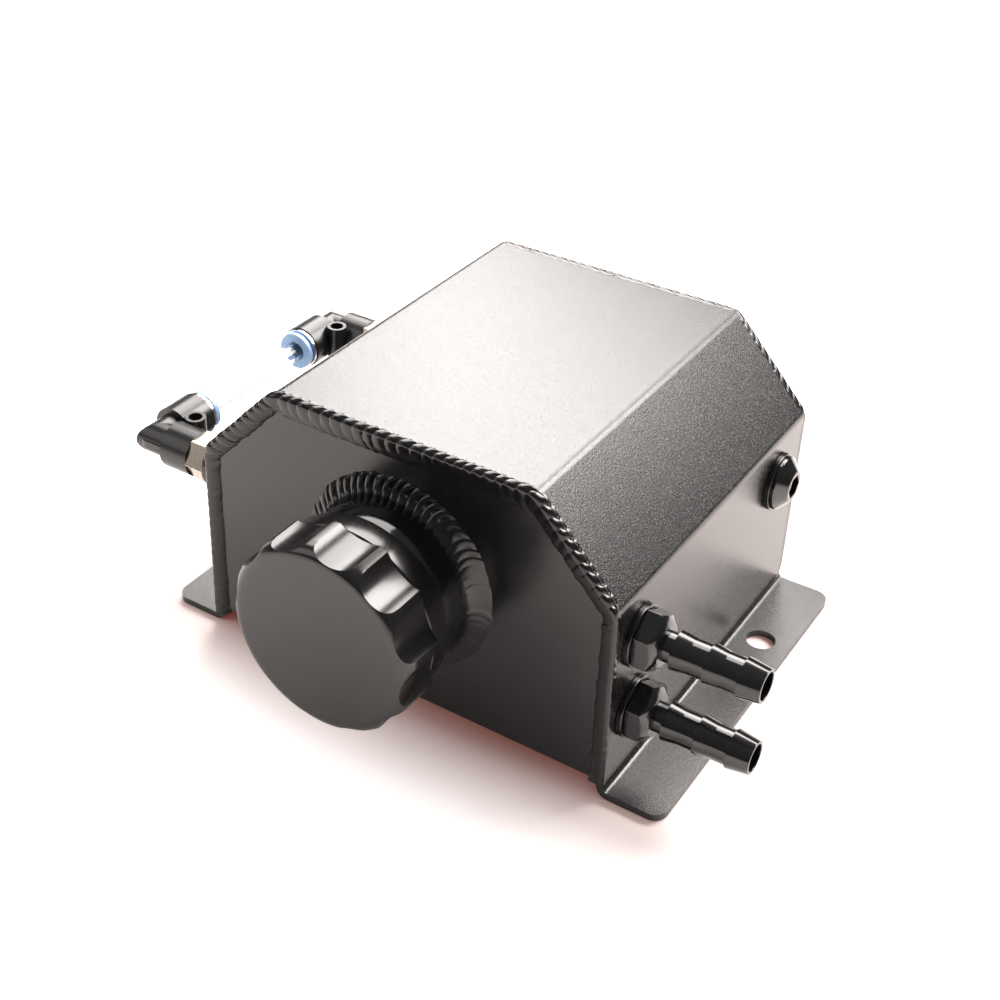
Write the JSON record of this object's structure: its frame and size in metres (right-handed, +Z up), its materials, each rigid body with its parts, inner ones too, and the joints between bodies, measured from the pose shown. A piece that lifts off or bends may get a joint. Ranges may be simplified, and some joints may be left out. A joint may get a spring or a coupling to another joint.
{
  "type": "coolant expansion tank",
  "caption": "Welded sheet-aluminium coolant expansion tank with side mounting tabs, a fluted screw cap on a welded neck, barbed hose fittings, a blanked spare port and a clear sight tube.",
  "frame": {"origin": "centre of the four-bolt pattern, at the underside of the mounting tabs", "axes": "+Z up out of the mounting face, +Y from the filler cap end (front) to the rear end, +X towards the side with the hose barbs"},
  "size_m": [0.1953, 0.1467, 0.0845],
  "materials": {
    "powder_coat": "satin black fine-texture powder coat",
    "black_anodised": "satin to gloss black anodised aluminium",
    "black_rubber": "matte black rubber",
    "copper_washer": "dull copper-brown sealing washer",
    "nickel_plate": "nickel-plated brass",
    "black_plastic": "black moulded plastic, smooth",
    "stainless": "bright stainless steel",
    "collar_blue": "light blue moulded plastic",
    "clear_tube": "clear smooth plastic tube"
  },
  "bodies": {
    "tank": {"tank_shell": "powder_coat", "front_end_plate": "powder_coat", "rear_end_plate": "powder_coat", "floor_plate": "powder_coat", "front_perimeter_weld": "powder_coat", "rear_perimeter_weld": "powder_coat", "left_floor_weld": "powder_coat", "right_floor_weld": "powder_coat", "filler_neck": "black_anodised", "neck_weld": "powder_coat", "upper_hose_bung": "powder_coat", "upper_hose_seal": "black_rubber", "upper_hose_barb": "black_anodised", "lower_hose_bung": "powder_coat", "lower_hose_seal": "black_rubber", "lower_hose_barb": "black_anodised", "spare_port_bung": "powder_coat", "spare_port_seal": "black_rubber", "spare_port_plug": "black_anodised", "front_sight_bung": "powder_coat", "front_sight_washer": "copper_washer", "front_elbow_stem": "nickel_plate", "front_elbow_body": "black_plastic", "front_sleeve_ring": "stainless", "front_grip_ring": "stainless", "front_tube_seal": "black_rubber", "rear_sight_bung": "powder_coat", "rear_sight_washer": "copper_washer", "rear_elbow_stem": "nickel_plate", "rear_elbow_body": "black_plastic", "rear_sleeve_ring": "stainless", "rear_grip_ring": "stainless", "rear_tube_seal": "black_rubber", "sight_tube": "clear_tube"},
    "cap_seal": {"cap_seal": "black_rubber"},
    "filler_cap": {"filler_cap": "black_anodised"},
    "front_release_collar": {"front_release_collar": "collar_blue"},
    "rear_release_collar": {"rear_release_collar": "collar_blue"}
  },
  "joints": [
    {"name": "cap_lift", "type": "slide", "parent": "tank", "child": "cap_seal", "axis": [0, -1, 0], "range_m": [0, 0.0135]},
    {"name": "cap_turn", "type": "hinge", "parent": "cap_seal", "child": "filler_cap", "pos_m": [0, -0.0696, 0.0445], "axis": [0, -1, 0], "range_deg": [0, 1620]},
    {"name": "front_collar_press", "type": "slide", "parent": "tank", "child": "front_release_collar", "axis": [0, -1, 0], "range_m": [0, 0.0008], "stiffness_N_per_m": 400},
    {"name": "rear_collar_press", "type": "slide", "parent": "tank", "child": "rear_release_collar", "axis": [0, 1, 0], "range_m": [0, 0.0008], "stiffness_N_per_m": 400}
  ],
  "couplings": [
    {"joint": "cap_lift", "follows": "cap_turn", "m_per_rad": 0.00047746}
  ]
}
